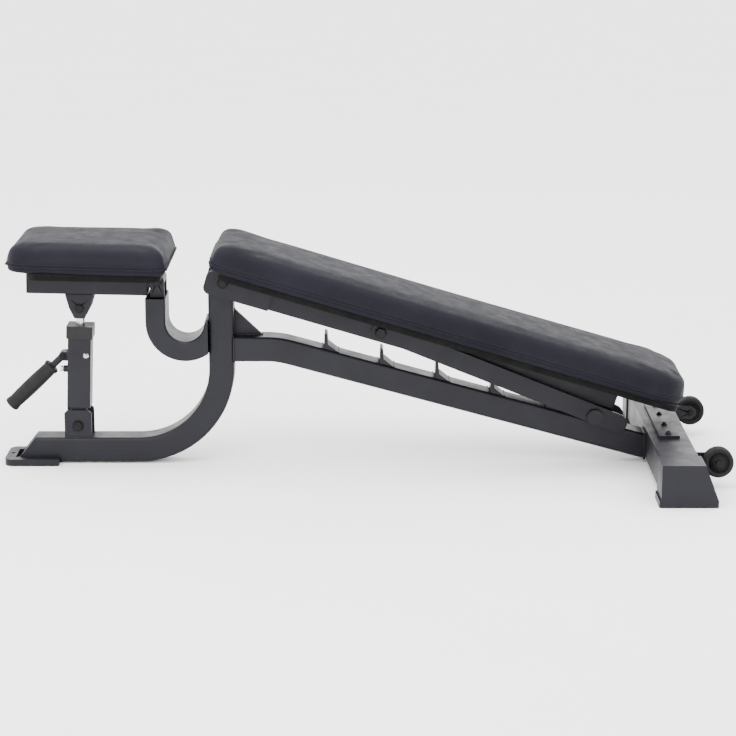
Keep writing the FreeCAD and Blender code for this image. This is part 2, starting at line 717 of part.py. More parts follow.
def transport_wheels():
    """Two wheels beside the cross member: bracket, axle, hub and tyre for each."""
    x, z = D.wheel_across, D.wheel_height
    reach = D.bracket_reach
    low = z - reach
    high = z + reach
    nose = x + D.bracket_nose
    outline = [(cross_side(low), low), (x, low), (nose, z - D.bracket_flat),
               (nose, z + D.bracket_flat), (x, high), (cross_side(high), high)]
    axles = []
    for name, sign in (("near", -1), ("far", 1)):
        def between(inner, outer):
            return sorted((D.wheel_side * sign + inner * sign, D.wheel_side * sign + outer * sign),
                          key=number_of)
        half = D.wheel_width / 2
        plate(f"wheel_bracket_{name}", FLOOR, outline,
              *between(-half - D.bracket_gap - D.bracket_thickness, -half - D.bracket_gap),
              holes=[(x, z, D.axle_radius)])
        low_end, high_end = between(-half - D.bracket_gap - D.bracket_thickness,
                                    half + D.side_gap)
        axles.append(shaft(f"axle_{name}", FLOOR, x, z, D.axle_radius, low_end, high_end))
        wheel_frame = turned(x, 0, z)
        hub_low, hub_high = between(D.hub_inset - half, half - D.hub_inset)
        hub = new_body(f"wheel_hub_{name}")
        hub_sketch = new_sketch(hub, offset=side_offset(hub_low, hub_high))
        circle(hub_sketch, 0, 0, D.hub_radius)
        circle(hub_sketch, 0, 0, D.axle_radius + D.running_gap)
        pad(hub, hub_sketch, hub_high - hub_low)
        hub.Placement = wheel_frame
        tyre_low, tyre_high = between(-half, half)
        tyre = new_body(f"tyre_{name}")
        tyre_sketch = new_sketch(tyre, offset=side_offset(tyre_low, tyre_high))
        circle(tyre_sketch, 0, 0, D.wheel_radius)
        circle(tyre_sketch, 0, 0, D.hub_radius)
        pad(tyre, tyre_sketch, tyre_high - tyre_low)
        fillet(tyre, lambda edge: edge.BoundBox.XLength > number_of(D.wheel_radius + D.hub_radius),
               D.tyre_round)
        tyre.Placement = wheel_frame
    joined("wheel_axles", axles)


def hinges_on_frame():
    """The fixed halves of the back hinge, the seat hinge and the post's lower hinge."""
    back_bore = D.hinge_bolt_radius + D.running_gap
    half = D.back_tube_width / 2
    lug("back_hinge_lug", turned(D.hinge_across, 0, D.hinge_height, 90),
        D.hinge_height - D.upright_top, D.hinge_lug_radius, back_bore, D.side_gap - D.ear_inner,
        D.ear_inner - D.side_gap)
    lug_pair("seat_cheeks", turned(D.seat_hinge_across, 0, D.seat_hinge_height, 90),
             D.seat_hinge_height - D.support_top, D.cheek_radius, D.seat_pin_radius,
             half + D.side_gap, half + D.side_gap + D.ear_thickness)
    outer = half + D.side_gap + D.ear_thickness
    shaft("seat_hinge_pin", FLOOR, D.seat_hinge_across, D.seat_hinge_height, D.seat_pin_radius,
          -outer, outer)
    x, z = D.post_foot_across, D.post_foot_height
    floor_top = D.main_height + D.tube_depth / 2
    outline = [(x - D.foot_cheek_width / 2, floor_top), (x + D.foot_cheek_width / 2, floor_top),
               (x + D.foot_cheek_width / 2, D.foot_cheek_top - D.ear_thickness),
               (x + D.foot_cheek_width / 2 - D.ear_thickness, D.foot_cheek_top),
               (x - D.foot_cheek_width / 2 + D.ear_thickness, D.foot_cheek_top),
               (x - D.foot_cheek_width / 2, D.foot_cheek_top - D.ear_thickness)]
    inner = D.foot_cheek_inner
    cheeks = [plate(f"post_cheek_{name}", FLOOR, outline, low, high, holes=[(x, z, D.foot_pin_radius)])
              for name, low, high in (("near", -(inner + D.ear_thickness), -inner),
                                      ("far", inner, inner + D.ear_thickness))]
    joined("post_cheeks", cheeks)
    shaft("post_foot_pin", FLOOR, x, z, D.foot_pin_radius, -(inner + D.ear_thickness),
          inner + D.ear_thickness)


# ---- back ------------------------------------------------------------------------------------

def hinge_ears(low, high):
    """Side plates of the back hinge: clear of the upright, and packed out from the tube."""
    inner = D.ear_inner
    outer = inner + D.ear_thickness
    half = D.back_tube_width / 2
    outline = [(D.ear_left, low), (D.ear_right, low), (D.ear_right, high), (D.ear_left, high)]
    ears = []
    for name, sign in (("near", -1), ("far", 1)):
        body = plate(f"hinge_ear_{name}", BACK, outline,
                     *sorted((inner * sign, outer * sign), key=number_of),
                     holes=[(0, 0, D.hinge_bolt_radius)])
        fillet(body, corners_at(D.ear_left, Y_AXIS), D.ear_round)
        packing = new_sketch(body, offset=side_offset(half * sign, inner * sign))
        rectangle(packing, D.ear_packing_left, D.ear_right, low, high)
        pad(body, packing, inner - half)
        ears.append(body)
    joined("hinge_ears", ears)
    shaft("hinge_bolt", BACK, 0, 0, D.hinge_bolt_radius, -outer, outer)


def back_rest():
    pad_low = D.back_top - D.pad_thickness
    board_low = pad_low - D.board_thickness
    tube_low = board_low - D.back_tube_depth
    end = D.back_start + D.back_length
    cushion("back_pad", BACK, D.back_start, end, D.back_width, pad_low, D.back_top,
            D.back_corner_seat, D.back_corner_head)
    board("back_board", BACK, D.back_start + D.board_seat_inset, end - D.board_inset,
          D.back_width - D.board_inset * 2, board_low)
    tube = straight_tube("back_tube", BACK, D.back_tube_start, D.back_tube_end,
                         D.back_tube_width, tube_low, board_low, D.tube_wall)
    pin_hole(tube, D.strut_along, -D.strut_drop, D.pivot_radius, D.back_tube_width * 2)
    block("back_tube_cap", BACK, D.back_tube_end, D.back_tube_end + D.tube_wall,
          -D.back_tube_width / 2, D.back_tube_width / 2, tube_low, board_low)
    half = D.back_tube_width / 2
    hinge_ears(tube_low, board_low)
    spacers = []
    for name, low, high in (("near", D.side_gap - D.strut_inner, -half),
                            ("far", half, D.strut_inner - D.side_gap)):
        body = new_body(f"strut_spacer_{name}")
        sketch = new_sketch(body, offset=side_offset(low, high))
        circle(sketch, 0, 0, D.spacer_radius)
        circle(sketch, 0, 0, D.pivot_radius)
        pad(body, sketch, high - low)
        body.Placement = on(BACK, D.strut_along, -D.strut_drop)
        spacers.append(body)
    joined("strut_spacers", spacers)
    outer = D.strut_inner + D.strut_thickness + D.side_gap
    shaft("strut_pivot_bolt", BACK, D.strut_along, -D.strut_drop, D.pivot_radius, -outer, outer)
    pad_fixings("back", BACK, board_low, (D.back_tab_first, D.back_tab_second))


# ---- strut -----------------------------------------------------------------------------------

def strut():
    """Two bars that straddle the back's tube and the spine, joined by a pin and a brace."""
    end = D.strut_length + D.strut_overrun - D.strut_depth / 2
    inner = D.strut_inner
    outer = inner + D.strut_thickness
    for name, low, high in (("near", -outer, -inner), ("far", inner, outer)):
        body = new_body(f"strut_arm_{name}")
        sketch = new_sketch(body, offset=side_offset(low, high))
        stadium(sketch, 0, end, D.strut_depth / 2)
        circle(sketch, 0, -D.strut_rise, D.pivot_radius + D.running_gap)
        circle(sketch, D.strut_length, -D.strut_rise, D.strut_pin_radius)
        pad(body, sketch, high - low)
        body.Placement = on(STRUT, 0, D.strut_rise)
    shaft("strut_pin", STRUT, D.strut_length, 0, D.strut_pin_radius, -outer, outer)
    shaft("strut_brace", STRUT, D.brace_along, -D.brace_drop, D.pivot_radius, -inner, inner,
          headed=False)


# ---- seat ------------------------------------------------------------------------------------

def seat():
    pad_low = D.seat_top - D.seat_thickness
    board_low = pad_low - D.board_thickness
    tube_low = board_low - D.seat_tube_depth
    half = D.back_tube_width / 2
    cushion("seat_pad", SEAT, D.seat_front, D.seat_back, D.seat_width, pad_low, D.seat_top,
            D.seat_corner_front, D.seat_corner_back)
    board("seat_board", SEAT, D.seat_front + D.seat_board_inset, D.seat_back - D.board_inset,
          D.seat_width - D.board_inset * 2, board_low)
    straight_tube("seat_tube", SEAT, D.seat_tube_front, D.seat_tube_back, D.back_tube_width,
                  tube_low, board_low, D.tube_wall)
    block("seat_tube_cap", SEAT, D.seat_tube_front - D.tube_wall, D.seat_tube_front,
          -half, half, tube_low, board_low)
    lug("seat_hinge_lug", on(SEAT, 0, 0, 180), -D.seat_tube_back, D.cheek_radius,
        D.seat_pin_radius + D.running_gap, -half, half)
    radius = D.clevis_radius
    reach = D.clevis_drop + tube_low
    outline = [(-D.clevis_top / 2, reach), (-radius, 0), (-radius / 2, -radius),
               (radius / 2, -radius), (radius, 0), (D.clevis_top / 2, reach)]
    joined("seat_clevis", [
        plate(f"seat_clevis_{name}", on(SEAT, D.clevis_along, -D.clevis_drop), outline, low, high,
              holes=[(0, 0, D.seat_pin_radius)])
        for name, low, high in (("near", -half, D.ear_thickness - half),
                                ("far", half - D.ear_thickness, half))])
    shaft("seat_clevis_pin", SEAT, D.clevis_along, -D.clevis_drop, D.seat_pin_radius, -half, half)
    pad_fixings("seat", SEAT, board_low, (D.seat_tab_first, D.seat_tab_second))


# ---- telescopic post -------------------------------------------------------------------------

def square_on_post(label, size, low, high, opening, corner):
    """A square upright of the post about its axis, with a square or round opening."""
    body = new_body(label)
    sketch = new_sketch(body, "XY_Plane", low)
    rectangle(sketch, -size / 2, size / 2, -size / 2, size / 2)
    if opening == "square":
        inner = size / 2 - D.sleeve_wall
        rectangle(sketch, -inner, inner, -inner, inner)
    else:
        circle(sketch, 0, 0, D.rod_radius + D.slide_gap)
    pad(body, sketch, high - low, both_ways=False)
    fillet(body, runs_along(Z_AXIS), corner)
    body.Placement = POST
    return body


def turned_rod(name, start_x, end_x, radius, z):
    """A round bar along X in a local frame."""
    rod = doc.addObject("Part::Cylinder", name)
    bind(rod, "Radius", radius)
    bind(rod, "Height", end_x - start_x)
    base = FreeCAD.Vector(number_of(start_x), 0, number_of(z))
    rod.Placement = FreeCAD.Placement(base, FreeCAD.Rotation(Y_AXIS, 90))
    return rod


def ring_along_y(name, x, z, radius, width):
    """A round disc along Y, centred on the middle plane."""
    disc = doc.addObject("Part::Cylinder", name)
    bind(disc, "Radius", radius)
    bind(disc, "Height", width)
    base = FreeCAD.Vector(number_of(x), -number_of(width) / 2, number_of(z))
    disc.Placement = FreeCAD.Placement(base, ALONG_Y)
    return disc


def combined(label, place, added, removed):
    """The fused solids less the removed ones, as one node."""
    whole = added[0]
    if len(added) > 1:
        whole = doc.addObject("Part::MultiFuse", label + "_added")
        whole.Shapes = added
    for index, tool in enumerate(removed):
        cut = doc.addObject("Part::Cut", f"{label}_less_{index}")
        cut.Base = whole
        cut.Tool = tool
        whole = cut
    whole.Placement = place
    whole.Label = label
    NODES.append(whole)
    return whole


def post_sleeve():
    body = square_on_post("post_sleeve", D.sleeve_size, D.sleeve_bottom, D.sleeve_top,
                          "square", D.sleeve_corner)
    drilled = new_sketch(body, "YZ_Plane")
    circle(drilled, 0, D.lock_height, D.lock_radius + D.slide_gap)
    pocket(body, drilled, D.sleeve_size, both_ways=False)
    square_on_post("post_collar", D.collar_size, D.sleeve_top, D.sleeve_top + D.collar_height,
                   "round", D.sleeve_wall)
    inner = D.foot_cheek_inner - D.side_gap
    lug("post_foot_lug", on(POST, 0, 0, -90), D.sleeve_bottom, D.foot_lug_radius,
        D.foot_pin_radius + D.running_gap, -inner, inner)
    pivot = D.sleeve_size / 2 + D.lever_out
    lug_pair("lever_cheeks", on(POST, -pivot, D.lever_height), D.lever_out, D.lever_cheek_radius,
             D.lever_pin_radius, D.lever_cheek_inner, D.lever_cheek_inner + D.lever_cheek_thickness)
    edge = D.lever_cheek_inner + D.lever_cheek_thickness
    shaft("lever_pin", POST, -pivot, D.lever_height, D.lever_pin_radius, -edge, edge)
    face = -(D.sleeve_size / 2)
    boss = turned_rod("lock_boss_bar", face - D.boss_length, face, D.boss_radius, D.lock_height)
    bore = turned_rod("lock_boss_bore", face - D.boss_length * 2, face + D.boss_length,
                      D.lock_radius + D.slide_gap, D.lock_height)
    combined("lock_boss", POST, [boss], [bore])
    group("guide_screw", POST, D.guide_screw_radius, D.screw_head_height,
          FreeCAD.Rotation(X_AXIS, 90), [(D.guide_screw_across, face, D.guide_screw_height)])


def post_rod():
    """The sliding rod: an eye for the seat's pin, and a slot for the lock pin."""
    bar = doc.addObject("Part::Cylinder", "post_rod_bar")
    bind(bar, "Radius", D.rod_radius)
    bind(bar, "Height", D.post_length - D.rod_bottom)
    bar.Placement.Base = FreeCAD.Vector(0, 0, number_of(D.rod_bottom))
    eye = ring_along_y("post_rod_eye", 0, D.post_length, D.eye_radius, D.eye_width)
    bore = ring_along_y("post_rod_bore", 0, D.post_length, D.eye_bore, D.eye_width * 2)
    slot = doc.addObject("Part::Box", "post_rod_slot")
    bind(slot, "Length", D.rod_radius)
    bind(slot, "Width", (D.lock_radius + D.slot_side_gap) * 2)
    bind(slot, "Height", D.slot_length)
    slot.Placement.Base = FreeCAD.Vector(-number_of(D.slot_floor + D.rod_radius),
                                         -number_of(D.lock_radius + D.slot_side_gap),
                                         number_of(D.lock_height + D.slot_above - D.slot_length))
    combined("post_rod", POST, [bar, eye], [bore, slot])
    side = D.sleeve_size - D.sleeve_wall * 2 - D.slide_gap * 2
    guide = new_body("rod_guide")
    sketch = new_sketch(guide, "XY_Plane", D.rod_bottom - D.guide_length)
    rectangle(sketch, -side / 2, side / 2, -side / 2, side / 2)
    pad(guide, sketch, D.guide_length, both_ways=False)
    fillet(guide, runs_along(Z_AXIS), D.sleeve_wall)
    guide.Placement = POST


def release_lever():
    bar = turned_rod("lever_bar", 0, D.lever_rod_length + D.lever_socket,
                     D.lever_rod_radius, 0)
    eye = ring_along_y("lever_eye", 0, 0, D.lever_cheek_radius,
                       (D.lever_cheek_inner - D.side_gap) * 2)
    bore = ring_along_y("lever_bore", 0, 0, D.lever_pin_radius + D.running_gap,
                        D.lever_cheek_inner * 4)
    combined("release_lever", LEVER, [bar, eye], [bore])
    grip = turned_rod("grip_bar", D.lever_rod_length, D.lever_rod_length + D.grip_length,
                      D.grip_radius, 0)
    socket = turned_rod("grip_socket", 0, D.lever_rod_length + D.lever_socket,
                        D.lever_rod_radius, 0)
    combined("lever_grip", LEVER, [grip], [socket])
    face = -(D.sleeve_size / 2) - D.boss_length
    pin = turned_rod("lock_pin_bar", face - D.lock_head_gap, -(D.rod_radius - D.lock_bite),
                     D.lock_radius, D.lock_height)
    head = turned_rod("lock_pin_head", face - D.lock_head_gap - D.lock_head_length,
                      face - D.lock_head_gap, D.lock_radius * 2, D.lock_height)
    combined("lock_pin", POST, [pin, head], [])


def check_and_export():
    """Stops on any failed object or bad shape, then writes one STEP file for each node."""
    doc.recompute()
    failed = [item.Name for item in doc.Objects if {"Invalid", "Error"} & set(item.State)]
    if failed:
        raise RuntimeError(f"failed objects: {failed}")
    os.makedirs("parts", exist_ok=True)
    for node in NODES:
        shape = node.Shape
        if shape.isNull() or not shape.isValid() or not shape.Solids:
            raise RuntimeError(f"bad shape: {node.Label}")
        shape.exportStep(f"parts/{node.Label}.step")
        print(node.Label, len(shape.Solids), round(shape.Volume))
    print(len(NODES), "nodes")


main_tube()
seat_support_tube()
spine_tube()
gusset_plate()
ladder_hooks()
cross_member()
head_feet()
seat_foot()
transport_wheels()
hinges_on_frame()
back_rest()
strut()
seat()
post_sleeve()
post_rod()
release_lever()
check_and_export()
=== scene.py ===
"""Adjustable weight bench: the looks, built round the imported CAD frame. Lengths are in metres."""

import json
import math

import bmesh
import bpy
from mathutils import Matrix, Vector
from mathutils.bvhtree import BVHTree


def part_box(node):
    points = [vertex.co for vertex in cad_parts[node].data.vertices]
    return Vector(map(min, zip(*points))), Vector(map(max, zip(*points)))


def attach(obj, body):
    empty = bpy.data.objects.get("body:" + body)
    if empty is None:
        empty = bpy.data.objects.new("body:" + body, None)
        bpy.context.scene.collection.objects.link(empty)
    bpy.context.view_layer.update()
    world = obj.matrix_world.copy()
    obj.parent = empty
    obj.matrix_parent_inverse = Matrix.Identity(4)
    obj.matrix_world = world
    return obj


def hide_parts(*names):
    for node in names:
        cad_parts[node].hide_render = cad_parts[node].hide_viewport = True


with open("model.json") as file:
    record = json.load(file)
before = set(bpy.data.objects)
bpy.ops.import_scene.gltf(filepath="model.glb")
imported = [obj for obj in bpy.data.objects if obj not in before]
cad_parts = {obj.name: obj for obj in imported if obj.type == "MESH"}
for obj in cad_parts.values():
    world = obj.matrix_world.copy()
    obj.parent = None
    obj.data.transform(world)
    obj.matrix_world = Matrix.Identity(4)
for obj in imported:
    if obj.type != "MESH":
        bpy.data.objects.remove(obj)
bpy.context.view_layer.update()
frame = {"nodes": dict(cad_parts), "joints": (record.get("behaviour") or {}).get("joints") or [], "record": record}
NODES = frame["nodes"]
JOINTS = {joint["name"]: joint for joint in frame["joints"]}

BACK_ANGLE = math.radians(16.5)
SEAT_ANGLE = math.radians(1.2)
POST_LEAN = math.radians(2.27)
SPINE_SLOPE = math.radians(15.2)
LEVER_ANGLE = math.radians(180 - 43.5)
GRIP_END_ROUND = 0.003


def turned(position, angle=0.0):
    """A frame at a point, turned about +Y: a positive angle lowers its +X end."""
    return Matrix.Translation(Vector(position)) @ Matrix.Rotation(angle, 4, "Y")


WORLD = Matrix.Identity(4)
BACK = turned(JOINTS["back_hinge"]["pos_m"], BACK_ANGLE)
SEAT = turned(JOINTS["seat_hinge"]["pos_m"], SEAT_ANGLE)
POST = turned(JOINTS["post_tilt"]["pos_m"], POST_LEAN)
LEVER = turned(JOINTS["lever_pivot"]["pos_m"], LEVER_ANGLE)


# ---- materials -----------------------------------------------------------------------------

class Shader:
    """A node material: a Principled surface with helpers that add its procedural detail."""

    def __init__(self, name, **constants):
        self.material = bpy.data.materials.new(name)
        self.material.use_nodes = True
        self.nodes = self.material.node_tree.nodes
        self.links = self.material.node_tree.links
        self.surface = self.nodes["Principled BSDF"]
        self.place = self.nodes.new("ShaderNodeTexCoord").outputs["Object"]
        self.normal = None
        for socket, value in constants.items():
            self.surface.inputs[socket.replace("_", " ")].default_value = value

    def noise(self, scale, detail=3.0, roughness=0.55):
        node = self.nodes.new("ShaderNodeTexNoise")
        node.inputs["Scale"].default_value = scale
        node.inputs["Detail"].default_value = detail
        node.inputs["Roughness"].default_value = roughness
        self.links.new(self.place, node.inputs["Vector"])
        return node.outputs["Fac"]

    def cells(self, scale, feature="DISTANCE_TO_EDGE"):
        node = self.nodes.new("ShaderNodeTexVoronoi")
        node.feature = feature
        node.inputs["Scale"].default_value = scale
        self.links.new(self.place, node.inputs["Vector"])
        return node.outputs["Distance"]

    def weave(self, scale, axis):
        node = self.nodes.new("ShaderNodeTexWave")
        node.bands_direction = axis
        node.inputs["Scale"].default_value = scale
        node.inputs["Distortion"].default_value = 0.4
        self.links.new(self.place, node.inputs["Vector"])
        return node.outputs["Fac"]

    def ramp(self, source, low, high, start=0.0, end=1.0):
        """The source's range from start to end, as colours or greys from low to high."""
        node = self.nodes.new("ShaderNodeValToRGB")
        node.color_ramp.elements[0].position = start
        node.color_ramp.elements[1].position = end
        node.color_ramp.elements[0].color = low if isinstance(low, tuple) else (low, low, low, 1)
        node.color_ramp.elements[1].color = (
            high if isinstance(high, tuple) else (high, high, high, 1))
        self.links.new(source, node.inputs["Fac"])
        return node.outputs["Color"]

    def mixed(self, first, second, way="MULTIPLY", amount=1.0):
        node = self.nodes.new("ShaderNodeMix")
        node.data_type = "RGBA"
        node.blend_type = way
        node.inputs["Factor"].default_value = amount
        self.links.new(first, node.inputs[6])
        self.links.new(second, node.inputs[7])
        return node.outputs[2]

    def colour(self, source):
        self.links.new(source, self.surface.inputs["Base Color"])

    def roughness(self, source):
        self.links.new(source, self.surface.inputs["Roughness"])

    def bump(self, source, depth, strength=1.0):
        """Adds one layer of relief, with its depth in metres."""
        node = self.nodes.new("ShaderNodeBump")
        node.inputs["Distance"].default_value = depth
        node.inputs["Strength"].default_value = strength
        self.links.new(source, node.inputs["Height"])
        if self.normal:
            self.links.new(self.normal, node.inputs["Normal"])
        self.normal = node.outputs["Normal"]
        self.links.new(self.normal, self.surface.inputs["Normal"])


def grey(level, tint=(1.0, 1.0, 1.0)):
    return (level * tint[0], level * tint[1], level * tint[2], 1.0)


PAINT_TINT = (1.0, 0.98, 1.5)


def powder_coat():
    """Charcoal powder coat: a fine orange peel, faint cloudy tone and duller patches."""
    shader = Shader("powder_coat", Coat_Weight=0.02, Coat_Roughness=0.4, Specular_IOR_Level=0.18)
    cloud = shader.noise(9.0, 4.0)
    shader.colour(shader.ramp(cloud, grey(0.004, PAINT_TINT), grey(0.007, PAINT_TINT), 0.3, 0.7))
    shader.roughness(shader.ramp(shader.noise(26.0, 5.0), 0.36, 0.52, 0.3, 0.7))
    shader.bump(shader.noise(900.0, 2.0), 0.00012, 0.5)
    shader.bump(shader.noise(260.0, 2.0), 0.0002, 0.25)
    return shader.material


def vinyl():
    """Charcoal upholstery vinyl: pebbled grain with painted shade along its creases, pores, a soft sheen and
    rubbed lighter areas.
    """
    shader = Shader("pad_vinyl", Sheen_Weight=0.01, Sheen_Roughness=0.45,
                    Specular_IOR_Level=0.06)
    tint = (1.0, 0.99, 1.5)
    rubbed = shader.ramp(shader.noise(5.0, 5.0), grey(0.006, tint), grey(0.0095, tint), 0.32, 0.7)
    # Painted shade: the colour is darkened along the grain's crease lines, where the creases would lie in shade.
    crease_painted_shade = shader.ramp(shader.cells(620.0), 0.62, 1.0, 0.0, 0.12)
    shader.colour(shader.mixed(rubbed, crease_painted_shade))
    shader.roughness(shader.ramp(shader.noise(38.0, 4.0), 0.5, 0.66, 0.3, 0.7))
    shader.bump(shader.ramp(shader.cells(620.0), 0.0, 1.0, 0.0, 0.2), 0.00022, 0.6)
    shader.bump(shader.noise(1500.0, 2.0), 0.0001, 0.35)
    shader.bump(shader.noise(30.0, 3.0), 0.0012, 0.12)
    return shader.material


def dust_cloth():
    """Black non-woven cloth stapled under the boards."""
    shader = Shader("dust_cloth", Sheen_Weight=0.04, Specular_IOR_Level=0.1)
    # The weave's relief; the same pattern also darkens the colour between the threads as painted shade.
    weave_relief_and_shade = shader.mixed(shader.ramp(shader.weave(420.0, "X"), 0.55, 1.0),
                           shader.ramp(shader.weave(420.0, "Y"), 0.55, 1.0))
    shader.colour(shader.mixed(
        weave_relief_and_shade, shader.ramp(shader.noise(40.0, 6.0), 0.003, 0.007, 0.3, 0.7)))
    shader.roughness(shader.ramp(shader.noise(120.0), 0.8, 0.97, 0.3, 0.7))
    shader.bump(weave_relief_and_shade, 0.0002, 0.6)
    return shader.material


def moulded(name, level, rough, grain_scale, grain_depth):
    """Black plastic or rubber with a fine moulded grain."""
    shader = Shader(name, Specular_IOR_Level=0.2)
    shader.colour(shader.ramp(shader.noise(14.0, 4.0), grey(level * 0.8), grey(level * 1.2),
                              0.3, 0.7))
    shader.roughness(shader.ramp(shader.noise(60.0), rough - 0.08, rough + 0.08, 0.3, 0.7))
    shader.bump(shader.noise(grain_scale, 2.0), grain_depth, 0.6)
    return shader.material


def metal(name, low, high, rough, coating=0.0):
    """Machined steel with faint drawing marks and handling smears."""
    shader = Shader(name, Metallic=1.0, Coat_Weight=coating)
    shader.colour(shader.ramp(shader.noise(30.0, 4.0), grey(low), grey(high), 0.3, 0.7))
    shader.roughness(shader.ramp(shader.noise(90.0, 5.0), rough - 0.06, rough + 0.1, 0.3, 0.7))
    shader.bump(shader.noise(1300.0, 2.0), 0.00006, 0.5)
    return shader.material


def studio_floor():
    """A matt, near-white floor."""
    shader = Shader("studio_floor", Roughness=0.85)
    shader.colour(shader.ramp(shader.noise(3.0), grey(0.86), grey(0.88), 0.3, 0.7))
    return shader.material


LOOKS = {
    "frame_paint": powder_coat(),
    "pad_vinyl": vinyl(),
    "board_wood": dust_cloth(),
    "black_plastic": moulded("black_plastic", 0.007, 0.5, 1100.0, 0.00012),
    "tyre_rubber": moulded("tyre_rubber", 0.006, 0.78, 700.0, 0.0002),
    "grip_rubber": moulded("grip_rubber", 0.006, 0.66, 900.0, 0.0002),
    "bolt_steel": metal("bolt_steel", 0.012, 0.02, 0.42),
    "bright_steel": metal("bright_steel", 0.5, 0.6, 0.2),
}
THREAD = moulded("thread", 0.012, 0.7, 2500.0, 0.0001)
BEAD = powder_coat()
SLOT_OF = {part["node"]: part["material_slot"] for part in frame["record"]["subparts"]}


# ---- making pieces -------------------------------------------------------------------------

def piece(name, mesh, body, slot_name, material=None, stands_for=()):
    """Puts a bmesh in the scene as a piece that rides on a body."""
    data = bpy.data.meshes.new(name)
    bmesh.ops.recalc_face_normals(mesh, faces=mesh.faces)
    mesh.to_mesh(data)
    mesh.free()
    made = bpy.data.objects.new(name, data)
    bpy.context.scene.collection.objects.link(made)
    data.materials.append(material or LOOKS[slot_name])
    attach(made, body)
    if stands_for:
        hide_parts(*stands_for)
    return made


def soften(made, width, angle=35.0):
    """Rounds the sharp edges a little, and shades the rest smooth."""
    weld = made.modifiers.new("weld", "WELD")
    weld.merge_threshold = 0.00001
    bevel = made.modifiers.new("edges", "BEVEL")
    bevel.width = width
    bevel.segments = 3
    bevel.limit_method = "ANGLE"
    bevel.angle_limit = math.radians(angle)
    bevel.harden_normals = False
    bevel.use_clamp_overlap = True
    for polygon in made.data.polygons:
        polygon.use_smooth = True
    smooth = made.modifiers.new("normals", "WEIGHTED_NORMAL")
    smooth.keep_sharp = False


def lathe(mesh, profile, place, axis="Y", segments=48):
    """Adds a turned solid: the profile is a list of (along the axis, radius)."""
    rings = []
    for along, radius in profile:
        ring = []
        for step in range(segments):
            angle = 2 * math.pi * step / segments
            side, up = radius * math.cos(angle), radius * math.sin(angle)
            spot = {"Y": (side, along, up), "X": (along, side, up), "Z": (side, up, along)}[axis]
            ring.append(mesh.verts.new(place @ Vector(spot)))
        rings.append(ring)
    for ring, after in zip(rings, rings[1:]):
        for step in range(segments):
            following = (step + 1) % segments
            mesh.faces.new((ring[step], ring[following], after[following], after[step]))
    if profile[0][1] > 0:
        mesh.faces.new(list(reversed(rings[0])))
    if profile[-1][1] > 0:
        mesh.faces.new(rings[-1])


def solids_of(node, place):
    """The box of each separate solid of a CAD node, in the axes of a place."""
    back = place.inverted()
    mesh = bmesh.new()
    mesh.from_mesh(NODES[node].data)
    bmesh.ops.remove_doubles(mesh, verts=mesh.verts, dist=0.00001)
    waiting = set(mesh.verts)
    found = []
    while waiting:
        stack = [waiting.pop()]
        members = []
        while stack:
            vertex = stack.pop()
            members.append(back @ vertex.co)
            for edge in vertex.link_edges:
                other = edge.other_vert(vertex)
                if other in waiting:
                    waiting.remove(other)
                    stack.append(other)
        low = Vector([min(spot[axis] for spot in members) for axis in range(3)])
        high = Vector([max(spot[axis] for spot in members) for axis in range(3)])
        found.append((low, high))
    mesh.free()
    return sorted(found, key=lambda box: tuple(box[0]))


def local_box(node, place):
    """The box of a whole CAD node, in the axes of a place."""
    boxes = solids_of(node, place)
    low = Vector([min(box[0][axis] for box in boxes) for axis in range(3)])
    high = Vector([max(box[1][axis] for box in boxes) for axis in range(3)])
    return low, high


# ---- camera, light and floor ---------------------------------------------------------------

def studio():
    """The camera at the picture's angle, a pale floor and broad soft lights."""
    camera = bpy.data.cameras.new("camera")
    camera.lens = 110.05
    camera.sensor_width = 36.0
    camera.clip_end = 100.0
    stand = bpy.data.objects.new("camera", camera)
    stand.location = (0.0115, -4.375, 1.2436)
    stand.rotation_euler = (math.radians(90 - 13.54), 0, 0)
    bpy.context.scene.collection.objects.link(stand)
    bpy.context.scene.camera = stand

    world = bpy.data.worlds.new("studio")
    world.use_nodes = True
    world.node_tree.nodes["Background"].inputs["Color"].default_value = (1.0, 1.0, 1.0, 1)
    world.node_tree.nodes["Background"].inputs["Strength"].default_value = 3.6
    bpy.context.scene.world = world

    lamps = (("key", (-0.6, -0.6, 2.6), (0.0, 0.1, 0.3), 2.4, 90.0),
             ("front", (0.9, -3.2, 1.9), (0.1, 0.0, 0.2), 2.0, 14.0),
             ("rim", (0.6, 2.6, 1.8), (0.1, 0.0, 0.3), 2.0, 6.0))
    for name, spot, aim, size, power in lamps:
        lamp = bpy.data.lights.new(name, "AREA")
        lamp.size = size
        lamp.energy = power
        holder = bpy.data.objects.new(name, lamp)
        holder.location = spot
        holder.rotation_euler = (Vector(aim) - Vector(spot)).to_track_quat("-Z", "Y").to_euler()
        bpy.context.scene.collection.objects.link(holder)

    mesh = bmesh.new()
    bmesh.ops.create_grid(mesh, x_segments=1, y_segments=1, size=14.0)
    data = bpy.data.meshes.new("floor")
    mesh.to_mesh(data)
    mesh.free()
    data.materials.append(studio_floor())
    ground = bpy.data.objects.new("floor", data)
    bpy.context.scene.collection.objects.link(ground)


# ---- pads ----------------------------------------------------------------------------------

def rounded_outline(low, high, radii, inset, per_corner=14):
    """A rounded rectangle's points, inset all round; radii are for the low-x and high-x ends."""
    left, right = low.x + inset, high.x - inset
    near, far = low.y + inset, high.y - inset
    at_low = max(radii[0] - inset, 0.012)
    at_high = max(radii[1] - inset, 0.012)
    limit = min((right - left) / 2, (far - near) / 2) * 0.96
    at_low, at_high = min(at_low, limit), min(at_high, limit)
    corners = ((right - at_high, near + at_high, at_high, -90),
               (right - at_high, far - at_high, at_high, 0),
               (left + at_low, far - at_low, at_low, 90),
               (left + at_low, near + at_low, at_low, 180))
    points = []
    for x, y, radius, start in corners:
        for step in range(per_corner + 1):
            angle = math.radians(start + 90 * step / per_corner)
            points.append(Vector((x + radius * math.cos(angle), y + radius * math.sin(angle), 0)))
    return points


